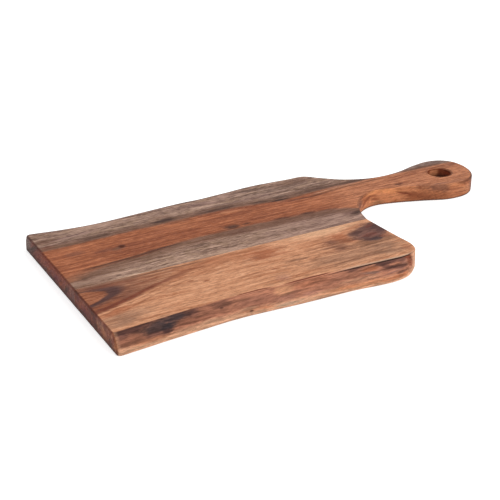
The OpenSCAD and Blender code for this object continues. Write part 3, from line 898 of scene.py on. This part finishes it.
# The brown arm of heartwood that rises from the straight end to the joint, with rust along its border.
arm = wood.course([
    (0, -50.5), (20, -45), (40, -38), (60, -30.5), (80, -24), (100, -18), (125, -9.5), (150, -2),
])
above_arm = wood.calc("SUBTRACT", wood.across, arm)
above_arm = wood.calc("MULTIPLY_ADD", wood.fray, 4.0, above_arm)
browned = wood.both(wood.ease(above_arm, -3.0, 3.0), wood.ease(wood.x, 120.0, 10.0))
browned = wood.both(browned, wood.ease(wood.blotch, 0.3, 0.55, 0.6, 0.95))
look = wood.tint(look, HAZEL, browned)
look = wood.tint(look, RUST, wood.both(browned, wood.ease(wood.broad, 0.35, 0.6, 0.15, 0.5)))
arm_share = wood.both(
    wood.ease(above_arm, -3.6, 2.0), wood.ease(above_arm, 6.5, 3.0),
    wood.ease(wood.x, 150.0, 50.0, 0.0, 0.9),
)
look = wood.tint(look, RUST, arm_share)
lower = wood.calc("SINE", wood.calc("MULTIPLY", above_arm, 0.95))
lower = wood.both(
    wood.ease(lower, 0.3, 1.0, 0.0, 0.4), wood.ease(above_arm, -30.0, -6.0),
    wood.ease(above_arm, 4.0, -4.0), wood.ease(wood.x, 220.0, 60.0),
)
look = wood.tint(look, DEEP_ORANGE, lower)
FRONT_LINES = [
    (UMBER, 0.7, [(30, -3), (60, -3.5), (90, -3.5), (135, -4.5)], 2.2),
    (RUST, 0.6, [(46, -17), (60, -16), (78, -13)], 2.4),
    (DEEP_ORANGE, 0.6, [(85, -9), (110, -14), (128, -15)], 2.4),
    (RUST, 0.4, [(36, -8), (70, -8.5), (100, -8)], 2.0),
    (EMBER, 0.55, [(0, -42.5), (15, -39), (32, -33.5)], 3.2),
    (GREIGE, 0.75, [(4, -1.5), (30, -2), (64, -2)], 2.4),
]
for growth_line in FRONT_LINES:
    look = wood.line(look, *growth_line)

BOW = 0.039
BOW_POWER = 2.5


def bowed(axis_y, lean):
    """How far along x the growth rings round the heart reach, from a bowed line about its axis."""
    off_axis = wood.calc("SUBTRACT", wood.across, wood.calc("MULTIPLY_ADD", wood.x, lean, axis_y))
    reach = wood.calc("MULTIPLY", wood.calc("POWER", wood.calc("ABSOLUTE", off_axis), BOW_POWER), BOW)
    return wood.calc("MULTIPLY_ADD", wood.fray, 6.0, wood.calc("ADD", reach, wood.x))


# The heart at the straight end: a dark ring round an orange core.
ring = wood.both(wood.ease(bowed(-22.4, 0.15), 45.0, 32.0), wood.ease(wood.across, -8.0, -13.0, 0.6, 0.95))
look = wood.tint(look, DARK_PLUM, ring)
core = wood.tint(DEEP_ORANGE, PEACH, wood.ease(wood.weave, 0.0, 1.0, 0.1, 0.6))
look = wood.tint(look, core, wood.ease(bowed(-21.2, 0.1), 25.0, 18.0, 0.0, 0.95))

# The large knot beside the handle, with crisper rims.
KNOT_MARKS = [
    (UMBER, 0.65, 285, -44.5, 31, 10, 0), (PLUM, 0.9, 290, -27, 27, 17, 10),
    (PLUM, 0.9, 302, -23, 20, 18, 0), (PLUM, 0.85, 287, -37, 16, 12, 0),
    (DARK_PLUM, 0.6, 278, -25, 12, 8, 10), (DARK_PLUM, 0.8, 305, -20, 9, 14, 0),
    (DARK_PLUM, 0.5, 284, -38, 11, 7, 0), (END_RED, 0.45, 289, -32, 12, 5, 5),
    (END_RED, 0.5, 300, -15, 8, 3, 30), (CHAR, 0.6, 289, -43, 8, 4, 0),
    (MAUVE, 0.25, 285, -26, 11, 2.4, 18), (MAUVE, 0.22, 295, -27, 10, 2.4, 18),
    (MAUVE, 0.22, 292, -36, 11, 2.2, 14), (MAUVE, 0.2, 280, -31, 9, 2.2, 18),
    (END_RED, 0.5, 302, -40, 9, 4, 5),
]
for mark in KNOT_MARKS:
    look = wood.mark(look, *mark, core=0.55, fray=0.6)

# Three pin knots, and two rust streaks along the crease.
for x, y, length, width in ((95, -34.5, 4.2, 1.8), (108, -40.5, 4.6, 2.0), (172, -50.5, 6.0, 1.8)):
    look = wood.mark(look, DEEP_ORANGE, 0.7, x, y, length, width, core=0.3, fray=0.3)
look = wood.mark(look, RUST, 0.85, 134, -78.8, 20, 2.0, -2, core=0.6, fray=0.3)
look = wood.mark(look, RUST, 0.95, 187, -80.9, 29, 2.2, -1, core=0.65, fray=0.3)

# The live edge, with what is left of the bark: colour, strength, x, z, length, height and turn. The dark
# plum marks close under the crease from x 234 to 284, and the rust arc at x 294, z 16, are painted shadow
# along the crack.
bark = wood.tint(BARK, SAPWOOD, wood.ease(wood.z, 9.0, 3.5))
EDGE_MARKS = [
    (HAZEL, 0.5, 14, 11, 26, 6, 0), (PLUM, 0.7, 7, 14.5, 8, 3.4, 0), (EMBER, 0.5, 32, 5.8, 28, 2.4, 0),
    (HAZEL, 0.6, 66, 11, 18, 4, 0), (HAZEL, 0.42, 92, 14, 26, 6, 0), (PLUM, 0.42, 102, 15.5, 14, 3.5, 0),
    (PLUM, 0.4, 134, 12, 28, 5, 0), (HONEY, 0.85, 161, 14.8, 13, 4.4, 0),
    (EMBER, 0.35, 190, 15, 28, 4, 0), (PLUM, 0.35, 166, 11.4, 16, 2.0, 5), (PLUM, 0.2, 206, 13, 26, 4, 0),
    (MAUVE, 0.5, 160, 9, 16, 3, 0), (MAUVE, 0.6, 186, 8, 16, 2.6, 0), (HAZEL, 0.2, 232, 13.5, 18, 3.4, 0),
    (SAPWOOD, 0.35, 236, 9.6, 28, 2.2, 0), (DARK_PLUM, 0.75, 234, 16.4, 11, 1.6, 0),
    (DARK_PLUM, 0.55, 248, 17.2, 12, 1.0, 0), (DARK_PLUM, 0.9, 272, 16.4, 22, 2.2, 0),
    (DARK_PLUM, 0.8, 284, 17, 8, 1.4, 0), (EMBER, 0.7, 250, 14.6, 12, 1.6, 0),
    (SLATE, 0.6, 250, 12.2, 14, 1.2, -4), (PLUM, 0.6, 267, 12.2, 10, 2.0, -4),
    (DARK_PLUM, 0.7, 268, 13.8, 9, 2.0, -10), (DARK_PLUM, 0.8, 281, 11.8, 13, 2.2, -4),
    (MAUVE, 0.8, 272, 9.6, 16, 1.2, 4), (DARK_PLUM, 0.75, 281, 7.8, 9, 1.4, 4),
    (MAUVE, 0.55, 287, 13.6, 4, 1.6, 0), (PLUM, 0.85, 287, 15.6, 9, 1.8, 0),
    (GOLD, 0.65, 240, 5, 60, 3, 0), (EMBER, 0.65, 272, 4.8, 24, 2.6, 3),
    (EMBER, 0.4, 226, 5.6, 14, 1.8, 0), (EMBER, 0.5, 132, 5.6, 22, 2.2, 0),
    (SAPWOOD, 0.75, 87, 6.2, 13, 2.6, 0), (CHALK, 0.6, 165, 3.8, 19, 2.4, 0),
    (SAPWOOD, 0.5, 124, 7.4, 12, 1.8, 0), (HAZEL, 0.5, 82, 10.4, 14, 3.2, 0),
    (PLUM, 0.5, 74, 14.4, 8, 3, 0), (HAZEL, 0.35, 236, 11.6, 14, 1.8, 0),
    (EMBER, 0.6, 284, 4.8, 10, 2.6, 0), (EMBER, 0.5, 143, 4.8, 9, 2, 0),
    (DARK_PLUM, 0.6, 242, 16.8, 8, 1.4, 0), (RUST, 0.7, 295, 13, 5, 6, 0),
    (RUST, 0.8, 294, 16, 8, 2.0, -12), (DARK_PLUM, 0.9, 13, 16.8, 22, 3.8, 0),
    (DARK_PLUM, 0.8, 62, 16.4, 20, 4, 0), (CHAR, 0.9, 38, 13.4, 18, 6, 0), (CHAR, 0.9, 47, 11, 8, 5, 0),
    (CHAR, 0.85, 54, 16, 20, 3.6, 0), (DARK_PLUM, 0.7, 46, 8.4, 9, 3, 0), (CHAR, 0.8, 52, 12.2, 8, 3, 0),
    (PLUM, 0.65, 34, 9.4, 11, 2.4, 0), (DARK_PLUM, 0.7, 28, 16.8, 10, 2, 0),
    (SMOKE, 0.85, 127, 4.9, 2.6, 1.0, 0), (SMOKE, 0.6, 100, 13.2, 2.4, 1.0, 0),
]
for mark in EDGE_MARKS:
    bark = wood.side_mark(bark, *mark, core=0.4, fray=0.6)
rugged = wood.ease(wood.middling, 0.34, 0.66, 0.78, 1.2)
bark = wood.tint(bark, wood.even(rugged), 1.0, "MULTIPLY")

# The painted shadow inside the crack, as half its height at each x about the height where it opens.
CRACK_Z = 17.3
crack = wood.course([
    (0, 0), (105, 0), (205, 0.05), (225, 0.25), (250, 0.4), (285, 0.65), (298, 0.45), (312, 0),
])
below = wood.calc("ABSOLUTE", wood.calc("SUBTRACT", wood.z, CRACK_Z))
crack_shadow = wood.ease(wood.calc("SUBTRACT", crack, below), -0.25, 0.1, 0.0, 0.97)
bark = wood.tint(bark, SMOKE, crack_shadow)
# Painted highlights down the rounded corners at both ends of the live edge, in sapwood colour.
bark = wood.tint(bark, SAPWOOD, wood.ease(wood.x, 296.0, 303.0, 0.0, 0.85))
bark = wood.tint(bark, SAPWOOD, wood.ease(wood.x, 5.0, 2.0, 0.0, 0.3))
off_end = wood.ease(wood.x, 0.6, 2.2)
look = wood.tint(look, bark, wood.both(wood.live, wood.side, off_end))

# The sawn end: colour, strength, y, z, width, height and turn.
FRONT_END_MARKS = [
    (COCOA, 0.85, -42, 16, 8, 4, 0), (SMOKE, 0.4, -46, 12, 9, 5, -31), (WINE, 0.8, -24, 6, 12, 8, -20),
    (SMOKE, 0.5, -18, 4, 14, 3, 0), (SMOKE, 0.6, -48, 6, 10, 5, 0), (GREIGE, 0.5, -60, 13, 12, 5, 0),
    (TAN, 0.45, -67, 8, 7, 10, -20), (SMOKE, 0.5, -80, 6, 7, 7, -20), (SMOKE, 0.8, -5, 17, 6, 3, 0),
    (TAN, 0.55, -91, 10, 7, 12, 0),
]
at_end = wood.ease(wood.x, *END_BAND)
look = wood.sawn_end(look, at_end, FRONT_END_MARKS, red=0.7, foot=0.6)
look = wood.grained(look)

# The crease where the top meets the live edge carries a painted highlight along the crack.
# The arris of the sawn end is darker.
crease = wood.course([
    (0, -85.2), (62, -81.1), (120, -78.8), (175, -81.7), (228, -82.4),
    (270, -84.5), (288, -85.4), (300, -83.6), (312, -80),
])
crease_highlight = wood.both(
    wood.ease(wood.calc("SUBTRACT", wood.y, crease), 2.6, 1.0), wood.ease(wood.z, THICK - 0.4, THICK - 0.2),
    wood.ease(wood.x, 208.0, 240.0, 0.0, 0.6), wood.ease(wood.x, 301.0, 294.0),
)
look = wood.tint(look, CHALK, crease_highlight)
dark_end_arris = wood.both(wood.worn, at_end, wood.ease(wood.y, -64.0, -50.0, 0.25, 0.65))
look = wood.tint(look, COCOA, dark_end_arris)
wood.finish(look, front_plank)

# Studio: a plain pale floor that keeps the board's soft shadow, seen as white paper.
# Soft light comes from all round and from a large softbox above on the right.
# The camera stands at the photo's angle.
FLOOR_HALF = 8.0
FLOOR_LIFT = 0.55
PAPER_WHITE = (0.85, 0.85, 0.85, 1)
SKY_WHITE = (1, 1, 1, 1)
SKY_ON_BOARD = 0.72
SKY_SEEN = 1.0
SOFTBOX_WIDE = 2.4
SOFTBOX_HIGH = 2.0
SOFTBOX_WATTS = 18
SOFTBOX_PLACE = (1.1, -0.8, 1.5)
SENSOR = 36.0
LENS = 74.84
CAMERA_PLACE = (-0.5016, -0.7863, 0.4377)
CAMERA_LOOKS = (0.4428, 0.7851, -0.4331)

scene = bpy.context.scene
scene.view_settings.view_transform = "Standard"
floor_mesh = bpy.data.meshes.new("floor")
floor_corners = [(x * FLOOR_HALF, y * FLOOR_HALF, 0) for x, y in ((-1, -1), (1, -1), (1, 1), (-1, 1))]
floor_mesh.from_pydata(floor_corners, [], [(0, 1, 2, 3)])
floor = bpy.data.objects.new("floor", floor_mesh)
scene.collection.objects.link(floor)


def seen_directly(tree):
    """1 for what the camera, a mirror or a lens sees, 0 for light that reaches the board."""
    path = tree.nodes.new("ShaderNodeLightPath")
    share = path.outputs["Is Camera Ray"]
    for title in ("Is Glossy Ray", "Is Transmission Ray"):
        either = tree.nodes.new("ShaderNodeMath")
        either.operation = "MAXIMUM"
        tree.links.new(share, either.inputs[0])
        tree.links.new(path.outputs[title], either.inputs[1])
        share = either.outputs[0]
    return share


paper = bpy.data.materials.new("white_floor")
paper.use_nodes = True
tree = paper.node_tree
tree.nodes.clear()
lift = tree.nodes.new("ShaderNodeMath")
lift.operation = "MULTIPLY"
lift.inputs[1].default_value = FLOOR_LIFT
tree.links.new(seen_directly(tree), lift.inputs[0])
glow = tree.nodes.new("ShaderNodeEmission")
tree.links.new(lift.outputs[0], glow.inputs["Strength"])
sheet = tree.nodes.new("ShaderNodeBsdfDiffuse")
sheet.inputs["Color"].default_value = PAPER_WHITE
lit = tree.nodes.new("ShaderNodeAddShader")
tree.links.new(sheet.outputs[0], lit.inputs[0])
tree.links.new(glow.outputs[0], lit.inputs[1])
out = tree.nodes.new("ShaderNodeOutputMaterial")
tree.links.new(lit.outputs[0], out.inputs["Surface"])
floor_mesh.materials.append(paper)

world = bpy.data.worlds.new("studio")
scene.world = world
world.use_nodes = True
tree = world.node_tree
sky = tree.nodes["Background"]
sky.inputs["Color"].default_value = SKY_WHITE
bright = tree.nodes.new("ShaderNodeMapRange")
bright.inputs["To Min"].default_value = SKY_ON_BOARD
bright.inputs["To Max"].default_value = SKY_SEEN
tree.links.new(seen_directly(tree), bright.inputs["Value"])
tree.links.new(bright.outputs[0], sky.inputs["Strength"])

softbox_data = bpy.data.lights.new("softbox", "AREA")
softbox_data.shape = "RECTANGLE"
softbox_data.size = SOFTBOX_WIDE
softbox_data.size_y = SOFTBOX_HIGH
softbox_data.energy = SOFTBOX_WATTS
softbox = bpy.data.objects.new("softbox", softbox_data)
scene.collection.objects.link(softbox)
softbox.location = SOFTBOX_PLACE
softbox.rotation_mode = "QUATERNION"
softbox.rotation_quaternion = (-Vector(SOFTBOX_PLACE)).to_track_quat("-Z", "Y")

camera_data = bpy.data.cameras.new("camera")
camera_data.sensor_width = SENSOR
camera_data.lens = LENS
camera = bpy.data.objects.new("camera", camera_data)
scene.collection.objects.link(camera)
camera.location = CAMERA_PLACE
camera.rotation_mode = "QUATERNION"
camera.rotation_quaternion = Vector(CAMERA_LOOKS).to_track_quat("-Z", "Y")
scene.camera = camera
